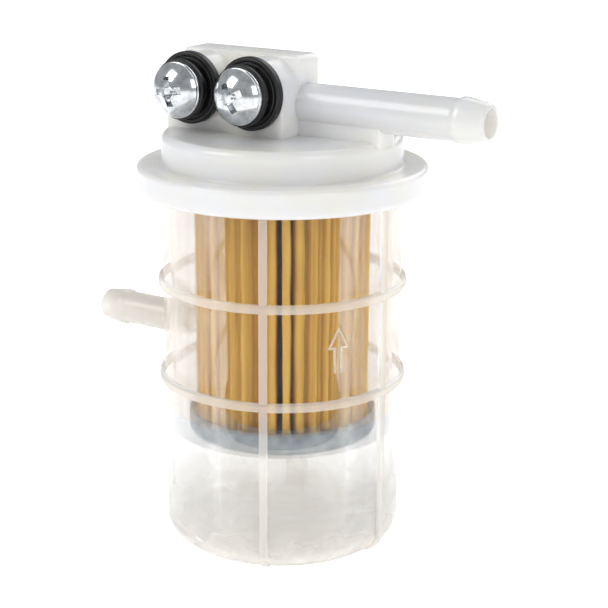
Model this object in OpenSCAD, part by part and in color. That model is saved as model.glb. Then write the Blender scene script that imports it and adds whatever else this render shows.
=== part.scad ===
// In-line fuel filter: a clear bowl with a pleated paper element, closed by a
// translucent head that carries the outlet and two rubber-mounted screws.
// Millimetres. Z is up and the origin is the centre of the bowl's base.

/* [Bowl] */
// Outer diameter of the bowl's wall
bowl_d = 54; // [44:0.5:66]
// Thickness of the bowl's wall
bowl_wall = 1.8; // [1.2:0.1:2.4]
// Height of the wall, from the base to the underside of the head
bowl_h = 81.6; // [68:0.2:100]
// Thickness of the bowl's floor
bowl_floor = 2.2; // [1.5:0.1:4]
// Outer radius of the corner between wall and floor
bowl_corner_r = 5.6; // [3:0.1:8]
// How far the welded rim stands out from the wall
rim_step = 3.2; // [2:0.1:4]
// Height of the welded rim
rim_h = 2.8; // [2:0.1:4]

/* [Hoops and ribs] */
// Height of the lower hoop's middle
hoop_low_z = 39.1; // [30:0.1:44]
// Height of the upper hoop's middle
hoop_high_z = 61.1; // [56:0.1:66]
// Width of each hoop along the bowl
hoop_w = 2.0; // [1.4:0.1:3]
// How far each hoop stands out from the wall
hoop_proud = 1.15; // [0.6:0.05:2]
// Number of upright ribs
rib_count = 4; // [1:1:4]
// Angle of the first rib from the outlet's side
rib_first = -65; // [-90:1:-40]
// Angle from one rib to the next
rib_step = 62; // [40:1:62]
// Width of each rib
rib_w = 1.9; // [1:0.1:3]
// How far each rib stands out from the wall
rib_proud = 0.85; // [0.4:0.05:1.1]

/* [Flow arrow] */
// Angle of the arrow from the outlet's side
arrow_angle = -30; // [-45:1:-15]
// Height of the arrow's foot
arrow_z = 46.2; // [42:0.1:50]
// Length of the arrow's shaft
shaft_l = 5.4; // [3:0.1:6]
// Width of the arrow's shaft
shaft_w = 2.1; // [1.6:0.1:3]
// Length of the arrow's point
point_l = 5.0; // [3:0.1:6]
// Width of the arrow's point
point_w = 5.2; // [4:0.1:8]
// Width of the raised line that draws the arrow
line_w = 0.45; // [0.3:0.05:0.6]
// Height of the raised line
line_h = 0.3; // [0.2:0.05:0.5]

/* [Inlet] */
// Height of the inlet's axis
inlet_z = 46.7; // [44.5:0.1:54]
// Length of the inlet beyond the bowl's wall
inlet_len = 24.2; // [18:0.1:34]
// Outer diameter of the inlet pipe
inlet_d = 7.7; // [7:0.1:10]
// Bore of the inlet pipe
inlet_bore = 5.0; // [3:0.1:5.2]
// Height of the inlet's barb above the pipe
inlet_barb = 0.35; // [0.2:0.05:0.8]

/* [Head] */
// How far the flange stands out from the bowl's wall
flange_step = 5.5; // [4.8:0.1:8]
// Height of the flange
flange_h = 6.1; // [4.5:0.1:8]
// Height of the drum above the flange
drum_h = 7.0; // [5.5:0.1:10]
// Difference between the radii of bowl and drum
drum_step = 0.1; // [0:0.1:1]
// Radius of the drum's upper edge
drum_edge_r = 1.7; // [0.5:0.1:2.5]
// Thickness of the head's wall
head_wall = 1.9; // [1.4:0.1:2.6]
// Thickness of the head's roof
head_roof = 2.0; // [1.5:0.1:3]

/* [Outlet] */
// Height of the outlet's axis above the drum
outlet_rise = 6.5; // [5.2:0.1:8]
// Length of the outlet beyond the drum's wall
outlet_len = 24.3; // [18:0.1:34]
// Outer diameter of the outlet pipe
outlet_d = 9.2; // [8.4:0.1:10.4]
// Bore of the outlet pipe and of the spigot
outlet_bore = 6.0; // [4:0.1:6.2]
// Height of the outlet's barb above the pipe
outlet_barb = 0.45; // [0.2:0.05:0.8]
// Thickness of the web below the outlet pipe
web_w = 6.6; // [4:0.1:8]

/* [Mounting block] */
// Distance from the outlet's passage to the middle of the two screws
screws_offset = 9.1; // [8:0.1:10.5]
// Height of the screws' axes above the drum
screws_rise = 9.4; // [8.4:0.1:12]
// Distance from the filter's axis to the block's front face
block_front = 9.9; // [9.4:0.1:13]
// Distance from the filter's axis to the front of the back plate
plate_front = 3.3; // [3:0.1:3.6]
// Distance from the filter's axis to the block's back face
plate_back = 4.9; // [4.4:0.1:8]
// How far each bush stands out from its boss
bush_lip = 0.6; // [0.3:0.1:1.5]
// Radius of the back plate's upper corners
plate_corner_r = 1.5; // [0.5:0.1:3]
// Height of the back plate above the bosses
plate_rise = 0.3; // [0:0.1:2]

/* [Bushes and screws] */
// Diameter of the bush's large flange
bush_d = 16.0; // [13:0.1:19.4]
// Gap between the two bushes
bush_gap = 0.2; // [0.1:0.1:3]
// Thickness of the bush's large flange
bush_back_t = 2.2; // [1.5:0.1:3]
// Width of the groove that takes the bracket
groove_w = 1.8; // [1:0.1:3]
// Diameter at the bottom of the groove
groove_d = 10.6; // [10.2:0.1:12.8]
// Thickness of the bush's small flange
bush_front_t = 1.5; // [1:0.1:2.5]
// Diameter of the bush's small flange
bush_front_d = 13.4; // [13:0.1:16]
// Nominal diameter of the screws
screw_d = 6.0; // [5:0.1:6.4]
// Diameter of the screw's head
head_d = 11.9; // [10:0.1:13]
// Height of the screw's head
head_h = 3.5; // [3:0.1:4.5]
// Height of the upright rim under the dome
head_rim = 0.5; // [0.3:0.1:1]
// Length of thread that stays in the insert
thread_l = 5.4; // [4:0.1:5.6]
// Turn of the cross in the left screw
left_cross = 8; // [-45:1:45]
// Turn of the cross in the right screw
right_cross = 24; // [-45:1:45]

/* [Sleeves, washers and inserts] */
// Wall of the steel sleeve inside the bush
sleeve_wall = 1.1; // [0.8:0.1:1.2]
// Thickness of the washer under the screw's head
washer_t = 0.8; // [0.5:0.1:1.6]
// Diameter of the washer
washer_d = 12.4; // [11:0.1:13]
// Wall of the threaded insert
insert_wall = 1.2; // [1:0.1:1.5]
// Length of the threaded insert
insert_l = 5.8; // [5.6:0.1:6.2]
// Radial gap of the screw in its insert
thread_gap = 0.05; // [0.02:0.01:0.1]
// Radial gap of the screw in sleeve and washer
shank_gap = 0.15; // [0.1:0.05:0.4]

/* [Element] */
// Gap between the end caps and the bowl's inner wall
element_gap = 3.7; // [2:0.1:5]
// Height of the element's lower end
element_z = 25.8; // [18:0.1:32]
// Height of the element's upper end above the bowl's wall
element_rise = 7.0; // [5.6:0.1:8]
// Thickness of the end caps' sheet
cap_t = 0.6; // [0.4:0.1:1]
// Height of the end caps' rims
cap_h = 5.2; // [3:0.1:8]
// Number of pleats
pleat_count = 40; // [24:1:44]
// Thickness of the paper
paper_t = 0.45; // [0.3:0.05:0.5]
// Gap between the pleats' tips and the cap's rim
pleat_gap = 0.85; // [0.3:0.05:1.5]
// Depth of the adhesive in each cap
potting_t = 1.5; // [0.8:0.1:3]

/* [Centre tube and seal] */
// Outer diameter of the centre tube
tube_d = 19.2; // [18:0.1:22]
// Thickness of the centre tube's sheet
tube_t = 0.6; // [0.4:0.1:0.8]
// Diameter of the holes in the centre tube
tube_hole_d = 3.2; // [2:0.1:4]
// Rows of holes up the centre tube
tube_rows = 8; // [4:1:9]
// Holes in each row
tube_holes = 8; // [4:1:9]
// Outer diameter of the head's spigot
spigot_d = 11.0; // [10:0.1:12]
// Thickness of the seal between spigot and upper cap
seal_t = 1.7; // [1.2:0.1:2.2]
// How far the seal's lips reach over the cap
seal_lip = 1.5; // [0.8:0.1:1.6]

/* [Hidden] */
$fn = 96;

EPS = 0.01;               // overlap that joins solids of one piece
THROUGH = 1;              // how far a cut runs past the face it opens

// Bowl
bowl_r = bowl_d / 2;
bowl_ir = bowl_r - bowl_wall;
bowl_inner_corner = max(0.8, bowl_corner_r - bowl_wall);
rim_r = bowl_r + rim_step;

// Head
flange_r = bowl_r + flange_step;
drum_r = bowl_r - drum_step;
drum_ir = drum_r - head_wall;
flange_top = bowl_h + flange_h;
drum_top = flange_top + drum_h;
ceiling_z = drum_top - head_roof;
flange_edge_r = 1.0;      // edge radius of the flange

// Pipes
outlet_z = drum_top + outlet_rise;
outlet_tip = drum_r + outlet_len;
inlet_tip = bowl_r + inlet_len;
barb_shoulder = 1.2;      // length of the barb's slope towards the pipe
barb_land = 0.8;          // length of the barb's full diameter
barb_cone = 5.6;          // length of the barb's slope towards the tip
tip_wall = 1.0;           // wall thickness at the pipe's tip
tip_r = 0.9;              // edge radius of the pipe's tip

// Screws
screw_pitch = bush_d + bush_gap;
screw_z = drum_top + screws_rise;
boss_r = bush_d / 2 - bush_lip;
block_half = screw_pitch / 2 + boss_r;
block_root = drum_top - drum_edge_r;
plate_top = screw_z + boss_r + plate_rise;
bush_l = bush_back_t + groove_w + bush_front_t;
washer_y = block_front + bush_l;
head_y = washer_y + washer_t;
sleeve_d = screw_d + 2 * (shank_gap + sleeve_wall);
insert_d = screw_d + 2 * (thread_gap + insert_wall);
groove_floor_d = max(groove_d, sleeve_d + 2);
LEFT = -1;
RIGHT = 1;

// Element
cap_r = bowl_ir - element_gap;
pleat_r = cap_r - cap_t - pleat_gap;
tube_r = tube_d / 2;
element_top = bowl_h + element_rise;
paper_bottom = element_z + cap_t + potting_t;
paper_top = element_top - cap_t - potting_t;
paper_root_r = tube_r + 0.3;
collar_r = spigot_d / 2 + seal_t;
seal_half = 2.0;          // height of the seal on each side of the cap's sheet
spigot_end = element_top - cap_t / 2 - seal_half - 0.8;

// ---------------------------------------------------------------- helpers

// Ring of rectangular section with rounded outer corners
module ring(r_in, r_out, h, edge) {
    rotate_extrude() {
        translate([r_in, 0]) square([r_out - r_in - edge, h]);
        translate([r_in, edge]) square([r_out - r_in, h - 2 * edge]);
        for (z = [edge, h - edge]) translate([r_out - edge, z]) circle(edge);
    }
}

// Solid of revolution with a rounded lower corner, from z = 0 up to h
module cup_body(r, h, corner) {
    rotate_extrude() {
        square([r - corner, h]);
        translate([0, corner]) square([r, h - corner]);
        intersection() {
            translate([r - corner, corner]) circle(corner);
            square([r, h]);
        }
    }
}

// Hose pipe along +Z that ends in a barb
module barbed_pipe(d, bore, barb, reach) {
    land_start = reach - barb_cone - barb_land;
    r = d / 2;
    cylinder(r = r, h = land_start);
    translate([0, 0, land_start - barb_shoulder]) cylinder(r1 = r, r2 = r + barb, h = barb_shoulder);
    translate([0, 0, land_start - EPS]) cylinder(r = r + barb, h = barb_land + EPS);
    end_r = bore / 2 + tip_wall;
    translate([0, 0, land_start + barb_land - EPS])
        cylinder(r1 = r + barb, r2 = end_r, h = barb_cone - tip_r + EPS);
    translate([0, 0, reach - tip_r - EPS]) rotate_extrude() {
        square([end_r - tip_r, tip_r + EPS]);
        intersection() {
            translate([end_r - tip_r, EPS]) circle(tip_r);
            square([end_r, tip_r + EPS]);
        }
    }
}

// Places a piece on one screw's axis, with +Z out of the block's front
module on_screw(side) {
    translate([-screws_offset + side * screw_pitch / 2, 0, screw_z]) rotate([90, 0, 0]) children();
}

// ------------------------------------------------------------------- bowl

// Arrow outline in the XY plane, foot at the origin, pointing along +Y
module arrow_outline() {
    tip_y = shaft_l + point_l;
    neck_y = shaft_l;
    slope = point_l / (point_w / 2);
    inset_y = line_w * sqrt(1 + slope * slope);
    wing_inner = (point_l - inset_y - line_w) / slope;
    difference() {
        union() {
            translate([-shaft_w / 2, 0]) square([shaft_w, neck_y + line_w]);
            polygon([[-point_w / 2, neck_y], [point_w / 2, neck_y], [0, tip_y]]);
        }
        translate([-shaft_w / 2 + line_w, -THROUGH]) square([shaft_w - 2 * line_w, neck_y + THROUGH + 2 * line_w]);
        polygon([[-wing_inner, neck_y + line_w], [wing_inner, neck_y + line_w], [0, tip_y - inset_y]]);
    }
}

module flow_arrow() {
    intersection() {
        rotate([0, 0, arrow_angle]) translate([bowl_r / 2, 0, arrow_z])
            rotate([90, 0, 90]) linear_extrude(bowl_r) arrow_outline();
        difference() {
            cylinder(r = bowl_r + line_h, h = bowl_h);
            cylinder(r = bowl_r - bowl_wall / 2, h = bowl_h);
        }
    }
}

module hoop(z) {
    translate([0, 0, z - hoop_w / 2])
        ring(bowl_r - bowl_wall / 2, bowl_r + hoop_proud, hoop_w, hoop_w * 0.3);
}

module ribs() {
    intersection() {
        cup_body(bowl_r + rib_proud, bowl_h + EPS, bowl_corner_r + rib_proud);
        for (i = [0 : rib_count - 1]) rotate([0, 0, rib_first + i * rib_step])
            translate([bowl_r / 2, -rib_w / 2, 0]) cube([bowl_r, rib_w, bowl_h + EPS]);
    }
}

module bowl() {
    color([0.93, 0.94, 0.93, 0.35]) difference() {
        union() {
            cup_body(bowl_r, bowl_h + rim_h, bowl_corner_r);
            translate([0, 0, bowl_h]) cylinder(r = rim_r, h = rim_h);
            hoop(hoop_low_z);
            hoop(hoop_high_z);
            ribs();
            flow_arrow();
            translate([-bowl_r + bowl_wall, 0, inlet_z]) rotate([0, -90, 0])
                barbed_pipe(inlet_d, inlet_bore, inlet_barb, inlet_len + bowl_wall);
        }
        translate([0, 0, bowl_floor]) cup_body(bowl_ir, bowl_h + rim_h, bowl_inner_corner);
        translate([-bowl_ir + bowl_wall, 0, inlet_z]) rotate([0, -90, 0])
            cylinder(d = inlet_bore, h = inlet_len + 2 * bowl_wall + THROUGH);
    }
}

// ------------------------------------------------------------------- head

module flange() {
    translate([0, 0, bowl_h]) ring(0, flange_r, flange_h, flange_edge_r);
}

module drum() {
    translate([0, 0, drum_top]) mirror([0, 0, 1])
        cup_body(drum_r, drum_h + EPS, drum_edge_r);
}

// One boss: round above the screw's axis and straight-sided below it
module boss(side) {
    length = block_front - plate_front + EPS;
    on_screw(side) translate([0, 0, plate_front - EPS]) {
        cylinder(r = boss_r, h = length);
        translate([-boss_r, block_root - screw_z, 0]) cube([2 * boss_r, screw_z - block_root, length]);
    }
}

module block() {
    plate_h = plate_top - block_root;
    valley_h = screw_z + 1.2 - block_root;
    boss(LEFT);
    boss(RIGHT);
    // fills the valley between the bosses up to just over the screws' axes
    translate([-screws_offset - screw_pitch / 2, -block_front, block_root])
        cube([screw_pitch, block_front - plate_front + EPS, valley_h]);
    // back plate, with the outlet's passage inside it
    translate([-screws_offset, plate_back, block_root]) rotate([90, 0, 0])
        linear_extrude(plate_front + plate_back) {
            translate([-block_half, 0]) square([2 * block_half, plate_h - plate_corner_r]);
            translate([-block_half + plate_corner_r, 0])
                square([2 * (block_half - plate_corner_r), plate_h]);
            for (s = [-1, 1])
                translate([s * (block_half - plate_corner_r), plate_h - plate_corner_r])
                    circle(plate_corner_r);
        }
}

// Web that joins the outlet pipe to the drum, flush with the drum's wall
module web() {
    intersection() {
        translate([0, -web_w / 2, ceiling_z]) cube([drum_r + THROUGH, web_w, outlet_z - ceiling_z]);
        cylinder(r = drum_r, h = outlet_z);
    }
}

module head_cover() {
    color([0.95, 0.94, 0.90, 0.8]) difference() {
        union() {
            flange();
            drum();
            block();
            web();
            translate([0, 0, outlet_z]) rotate([0, 90, 0])
                barbed_pipe(outlet_d, outlet_bore, outlet_barb, outlet_tip);
        }
        // seat of the bowl's rim
        translate([0, 0, bowl_h - THROUGH]) cylinder(r = rim_r, h = rim_h + THROUGH);
        // room for the element, around the spigot
        difference() {
            translate([0, 0, bowl_h]) cylinder(r = drum_ir, h = ceiling_z - bowl_h);
            translate([0, 0, spigot_end]) cylinder(d = spigot_d, h = drum_h + flange_h);
        }
        // outlet passage: up through the spigot, then out through the pipe
        translate([0, 0, spigot_end - THROUGH])
            cylinder(d = outlet_bore, h = outlet_z - spigot_end + THROUGH);
        translate([0, 0, outlet_z]) sphere(d = outlet_bore);
        translate([0, 0, outlet_z]) rotate([0, 90, 0]) cylinder(d = outlet_bore, h = outlet_tip + THROUGH);
        for (side = [LEFT, RIGHT]) on_screw(side)
            translate([0, 0, block_front - insert_l]) cylinder(d = insert_d, h = insert_l + THROUGH);
    }
}

// ---------------------------------------------------------------- element

// Corners of one pleat's contour: tip from both sides, then root from both sides
function pleat_corners(i, tip_r, tip_half, root_r, root_half) =
    let (a = i * 360 / pleat_count, half_pitch = 180 / pleat_count,
         da = asin(tip_half / tip_r), db = half_pitch - asin(root_half / root_r))
    [[tip_r, a - da], [tip_r, a + da], [root_r, a + db], [root_r, a + 2 * half_pitch - db]];

function polar(p) = [p[0] * cos(p[1]), p[0] * sin(p[1])];

function pleat_contour(tip_r, tip_half, root_r, root_half) =
    [for (i = [0 : pleat_count - 1])
        each [for (p = pleat_corners(i, tip_r, tip_half, root_r, root_half)) polar(p)]];

module pleated_paper() {
    tip_half = 0.8;           // half the width of a pleat's tip
    root_gap = 0.15;          // half the gap between two pleats at their roots
    color([0.93, 0.68, 0.28]) translate([0, 0, paper_bottom]) linear_extrude(paper_top - paper_bottom)
        difference() {
            polygon(pleat_contour(pleat_r, tip_half, paper_root_r + paper_t, root_gap));
            polygon(pleat_contour(pleat_r - paper_t, tip_half - paper_t * 0.75,
                                  paper_root_r, root_gap + paper_t));
        }
}

module lower_end_cap() {
    color([0.62, 0.65, 0.68]) translate([0, 0, element_z]) difference() {
        cup_body(cap_r, cap_h, 1.0);
        translate([0, 0, cap_t]) cup_body(cap_r - cap_t, cap_h, 0.4);
    }
}

module upper_end_cap() {
    color([0.62, 0.65, 0.68]) translate([0, 0, element_top]) mirror([0, 0, 1]) difference() {
        cup_body(cap_r, cap_h, 1.0);
        translate([0, 0, cap_t]) cup_body(cap_r - cap_t, cap_h, 0.4);
        translate([0, 0, -THROUGH]) cylinder(r = collar_r, h = cap_t + 2 * THROUGH);
    }
}

// Ring of adhesive that holds the paper's end in its cap
module potting() {
    edge = 0.4;
    difference() {
        cup_body(cap_r - cap_t, potting_t, edge);
        translate([0, 0, -THROUGH]) cylinder(r = tube_r, h = potting_t + 2 * THROUGH);
    }
}

module lower_potting() {
    color([0.80, 0.78, 0.70]) translate([0, 0, element_z + cap_t]) potting();
}

module upper_potting() {
    color([0.80, 0.78, 0.70]) translate([0, 0, element_top - cap_t]) mirror([0, 0, 1]) potting();
}

module centre_tube() {
    tube_h = element_top - element_z - 2 * cap_t;
    margin = 6;               // plain length at each end of the tube
    pitch = (tube_h - 2 * margin) / (tube_rows - 1);
    color([0.70, 0.72, 0.74]) translate([0, 0, element_z + cap_t]) difference() {
        cylinder(r = tube_r, h = tube_h);
        translate([0, 0, -THROUGH]) cylinder(r = tube_r - tube_t, h = tube_h + 2 * THROUGH);
        for (row = [0 : tube_rows - 1], i = [0 : tube_holes - 1])
            translate([0, 0, margin + row * pitch])
                rotate([0, 90, (i + (row % 2) / 2) * 360 / tube_holes])
                    cylinder(d = tube_hole_d, h = tube_r + THROUGH);
    }
}

module spigot_seal() {
    lip_r = collar_r + seal_lip;
    lip_inner_r = min(lip_r, tube_r - tube_t - 0.2);
    color([0.12, 0.12, 0.13]) translate([0, 0, element_top - cap_t]) difference() {
        union() {
            cylinder(r = collar_r, h = cap_t);
            translate([0, 0, cap_t]) cylinder(r = lip_r, h = seal_half - cap_t / 2);
            translate([0, 0, -seal_half + cap_t / 2]) cylinder(r = lip_inner_r, h = seal_half - cap_t / 2);
        }
        translate([0, 0, -seal_half - THROUGH]) cylinder(d = spigot_d, h = 2 * seal_half + 2 * THROUGH);
    }
}

// ------------------------------------------------------ bushes and screws

module insert(side) {
    color([0.80, 0.66, 0.36]) on_screw(side) translate([0, 0, block_front - insert_l]) difference() {
        cylinder(d = insert_d, h = insert_l);
        translate([0, 0, -THROUGH]) cylinder(r = screw_d / 2 + thread_gap, h = insert_l + 2 * THROUGH);
    }
}

module bush(side) {
    edge = 0.5;
    color([0.10, 0.10, 0.11]) on_screw(side) translate([0, 0, block_front]) difference() {
        union() {
            ring(0, bush_d / 2, bush_back_t, edge);
            cylinder(d = groove_floor_d, h = bush_l - EPS);
            translate([0, 0, bush_back_t + groove_w])
                ring(0, max(bush_front_d, groove_floor_d + 1.6) / 2, bush_front_t, edge);
        }
        translate([0, 0, -THROUGH]) cylinder(d = sleeve_d, h = bush_l + 2 * THROUGH);
    }
}

module sleeve(side) {
    color([0.74, 0.75, 0.76]) on_screw(side) translate([0, 0, block_front]) difference() {
        cylinder(d = sleeve_d, h = bush_l);
        translate([0, 0, -THROUGH]) cylinder(r = screw_d / 2 + shank_gap, h = bush_l + 2 * THROUGH);
    }
}

module washer(side) {
    color([0.78, 0.79, 0.80]) on_screw(side) translate([0, 0, washer_y]) difference() {
        cylinder(d = washer_d, h = washer_t);
        translate([0, 0, -THROUGH]) cylinder(r = screw_d / 2 + shank_gap, h = washer_t + 2 * THROUGH);
    }
}

// Domed cap: the part of a sphere above a circle of the head's diameter
module dome() {
    rise = head_h - head_rim;
    sphere_r = (head_d * head_d / 4 + rise * rise) / (2 * rise);
    intersection() {
        translate([0, 0, rise - sphere_r]) sphere(r = sphere_r);
        cylinder(d = head_d, h = rise);
    }
}

module screw(side, cross) {
    arm_l = 6.6;              // length of the cross from end to end
    arm_w = 1.3;              // width of each arm
    arm_depth = 2.2;          // depth of the cross
    shank = bush_l + washer_t + thread_l;
    color([0.82, 0.83, 0.84]) on_screw(side) translate([0, 0, head_y]) difference() {
        union() {
            translate([0, 0, -shank]) cylinder(d = screw_d, h = shank + EPS);
            cylinder(d = head_d, h = head_rim);
            translate([0, 0, head_rim - EPS]) dome();
        }
        for (turn = [0, 90]) rotate([0, 0, cross + turn])
            translate([-arm_l / 2, -arm_w / 2, head_h - arm_depth]) cube([arm_l, arm_w, arm_depth + THROUGH]);
        translate([0, 0, head_h - arm_depth - 0.6]) cylinder(d1 = 1.0, d2 = 2.6, h = arm_depth + 0.6);
    }
}

module left_insert() insert(LEFT);
module right_insert() insert(RIGHT);
module left_bush() bush(LEFT);
module right_bush() bush(RIGHT);
module left_sleeve() sleeve(LEFT);
module right_sleeve() sleeve(RIGHT);
module left_washer() washer(LEFT);
module right_washer() washer(RIGHT);
module left_screw() screw(LEFT, left_cross);
module right_screw() screw(RIGHT, right_cross);

bowl();
head_cover();
pleated_paper();
lower_end_cap();
upper_end_cap();
lower_potting();
upper_potting();
centre_tube();
spigot_seal();
left_insert();
right_insert();
left_bush();
right_bush();
left_sleeve();
right_sleeve();
left_washer();
right_washer();
left_screw();
right_screw();
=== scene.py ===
"""Visual model of an in-line fuel filter: clear bowl, pleated element, milky head and two bushed screws.

Lengths are in millimetres while a piece is being built, and each finished mesh is scaled to metres.
The origin is the centre of the bowl's base, +Z is up and +X points along the outlet.
"""

import logging
import math
from collections.abc import Sequence
from dataclasses import dataclass, field
from enum import Enum
from functools import cache

import bmesh
import bpy
from mathutils import Matrix, Vector, noise


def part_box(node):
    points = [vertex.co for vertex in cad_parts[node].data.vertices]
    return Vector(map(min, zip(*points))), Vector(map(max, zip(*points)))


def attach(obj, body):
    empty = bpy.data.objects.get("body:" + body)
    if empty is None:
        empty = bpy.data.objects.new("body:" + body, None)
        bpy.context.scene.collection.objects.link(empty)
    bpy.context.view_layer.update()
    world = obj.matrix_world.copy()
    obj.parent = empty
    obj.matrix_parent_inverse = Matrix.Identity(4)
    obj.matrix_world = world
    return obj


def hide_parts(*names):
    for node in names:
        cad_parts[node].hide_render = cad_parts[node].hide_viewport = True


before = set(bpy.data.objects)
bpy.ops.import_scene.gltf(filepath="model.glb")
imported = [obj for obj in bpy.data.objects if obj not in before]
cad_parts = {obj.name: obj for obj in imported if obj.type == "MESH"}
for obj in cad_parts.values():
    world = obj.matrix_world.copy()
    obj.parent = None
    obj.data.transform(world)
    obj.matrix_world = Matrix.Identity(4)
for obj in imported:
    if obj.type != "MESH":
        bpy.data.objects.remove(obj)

LOG = logging.getLogger("fuel_filter")

MM = 0.001
ARC_STEP = math.radians(11)
ROUND_STEPS = 144
MEDIUM_STEPS = 96
SMALL_STEPS = 64
POINT_STEPS = 32
MERGE_MM = 0.002
SMOOTH_ANGLE = math.radians(32)
FILTER_BODY = "filter"

Corner = tuple[float, float, float]


class Join(Enum):
    """How one solid is combined with another."""

    UNION = "UNION"
    DIFFERENCE = "DIFFERENCE"


class Side(Enum):
    """The two screws, named as seen from the front."""

    LEFT = "left"
    RIGHT = "right"


# Where each screw's cross stopped, in degrees
CROSS_TURN = {Side.LEFT: 8.0, Side.RIGHT: 24.0}


# ---------------------------------------------------------------- mesh tools


def rounded(corners: Sequence[Corner], closed: bool) -> list[Vector]:
    """Turns an outline's corners into points, with an arc at each corner that has a radius.

    Args:
        corners: Across, up and corner radius of each corner, in order.
        closed: Whether the last corner joins the first.

    Returns:
        The outline's points, in the XZ plane.
    """
    points: list[Vector] = []
    for i, (across, up, radius) in enumerate(corners):
        here = Vector((across, up))
        at_end = not closed and i in (0, len(corners) - 1)
        if radius == 0 or at_end:
            points.append(here)
            continue
        before = (Vector(corners[i - 1][:2]) - here).normalized()
        after = (Vector(corners[(i + 1) % len(corners)][:2]) - here).normalized()
        half = before.angle(after) / 2
        centre = here + (before + after).normalized() * radius / math.sin(half)
        spoke = here + before * radius / math.tan(half) - centre
        end_spoke = here + after * radius / math.tan(half) - centre
        turn = math.copysign(math.pi - 2 * half, spoke.cross(end_spoke))
        steps = max(2, math.ceil(abs(turn) / ARC_STEP))
        points += [centre + Matrix.Rotation(turn * k / steps, 2) @ spoke for k in range(steps + 1)]
    return [Vector((p.x, 0, p.y)) for p in points]


def cleaned(bm: bmesh.types.BMesh) -> bmesh.types.BMesh:
    """Merges doubles and points every face outwards."""
    bmesh.ops.remove_doubles(bm, verts=bm.verts, dist=MERGE_MM)
    bmesh.ops.dissolve_degenerate(bm, edges=bm.edges, dist=MERGE_MM)
    bmesh.ops.recalc_face_normals(bm, faces=bm.faces)
    return bm


def spun(corners: Sequence[Corner], closed: bool = False, steps: int = ROUND_STEPS) -> bmesh.types.BMesh:
    """Turns an outline once round Z.

    Args:
        corners: The outline, with radius as its across value.
        closed: True for a ring, False where both ends lie on the axis.
        steps: Number of steps in the turn.

    Returns:
        A closed solid.
    """
    bm = bmesh.new()
    verts = [bm.verts.new(p) for p in rounded(corners, closed)]
    ends = verts[1:] + verts[:1] if closed else verts[1:]
    edges = [bm.edges.new(pair) for pair in zip(verts, ends)]
    bmesh.ops.spin(bm, geom=verts + edges, cent=(0, 0, 0), axis=(0, 0, 1), angle=math.tau,
                   steps=steps, use_merge=True)
    return cleaned(bm)


def prism(corners: Sequence[Corner], front: float, back: float, edge: float = 0.0) -> bmesh.types.BMesh:
    """Extrudes a closed outline along Y.

    Args:
        corners: The outline in the XZ plane.
        front: Y of the front face.
        back: Y of the back face.
        edge: Width of the bevel round both faces.

    Returns:
        A closed solid.
    """
    bm = bmesh.new()
    face = bm.faces.new([bm.verts.new(p + Vector((0, front, 0))) for p in rounded(corners, True)])
    grown = bmesh.ops.extrude_face_region(bm, geom=[face], use_keep_orig=True)["geom"]
    moved_verts = [g for g in grown if isinstance(g, bmesh.types.BMVert)]
    bmesh.ops.translate(bm, verts=moved_verts, vec=(0, back - front, 0))
    return bevelled(cleaned(bm), edge) if edge else cleaned(bm)


def bevelled(bm: bmesh.types.BMesh, width: float, segments: int = 3, angle: float = 50) -> bmesh.types.BMesh:
    """Rounds every sharp edge.

    Args:
        bm: The solid, which is changed.
        width: Width of the rounding.
        segments: Number of steps across it.
        angle: Edges sharper than this many degrees are rounded.

    Returns:
        The same solid.
    """
    sharp = [e for e in bm.edges if len(e.link_faces) == 2 and e.calc_face_angle() > math.radians(angle)]
    bmesh.ops.bevel(bm, geom=sharp, offset=width, affect="EDGES", segments=segments, profile=0.5,
                    clamp_overlap=True, material=-1)
    return cleaned(bm)


def placed(bm: bmesh.types.BMesh, *steps: Matrix) -> bmesh.types.BMesh:
    """Moves a whole mesh by several transforms, in the order given."""
    for step in steps:
        bmesh.ops.transform(bm, matrix=step, verts=bm.verts)
    return bm


def loose_object(bm: bmesh.types.BMesh, name: str) -> bpy.types.Object:
    """Moves a bmesh into a new object in the scene and frees it.

    Args:
        bm: The mesh, which is used up.
        name: The object's name.

    Returns:
        The new object.
    """
    mesh = bpy.data.meshes.new(name)
    bm.to_mesh(mesh)
    bm.free()
    made = bpy.data.objects.new(name, mesh)
    bpy.context.scene.collection.objects.link(made)
    return made


def fused(base: bmesh.types.BMesh, tool: bmesh.types.BMesh, how: Join = Join.UNION) -> bmesh.types.BMesh:
    """Joins a solid to another or cuts it away.

    Args:
        base: The solid that is kept.
        tool: The solid that is added or cut away. Both are used up.
        how: Union or difference.

    Returns:
        The combined solid.
    """
    kept, other = loose_object(base, "kept"), loose_object(tool, "other")
    modifier = kept.modifiers.new("join", "BOOLEAN")
    modifier.operation = how.value
    modifier.object = other
    modifier.solver = "EXACT"
    view = bpy.context.evaluated_depsgraph_get()
    mesh = bpy.data.meshes.new_from_object(kept.evaluated_get(view))
    bm = bmesh.new()
    bm.from_mesh(mesh)
    for spent in (kept, other):
        bpy.data.meshes.remove(spent.data)
    bpy.data.meshes.remove(mesh)
    return bm


def spoke_turn(angle: float) -> Matrix:
    """Turn round Z by an angle in degrees."""
    return Matrix.Rotation(math.radians(angle), 4, "Z")


@cache
def node_box(node: str) -> tuple[Vector, Vector]:
    """Lowest and highest corner of a CAD node, in millimetres."""
    low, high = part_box(node)
    return low / MM, high / MM


# ---------------------------------------------------------------- node tools


def linear(code: str) -> tuple[float, float, float, float]:
    """Linear colour with alpha 1 from an sRGB hex code."""
    parts = [int(code[i:i + 2], 16) / 255 for i in (1, 3, 5)]
    values = [c / 12.92 if c <= 0.04045 else ((c + 0.055) / 1.055) ** 2.4 for c in parts]
    return (values[0], values[1], values[2], 1.0)


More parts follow.
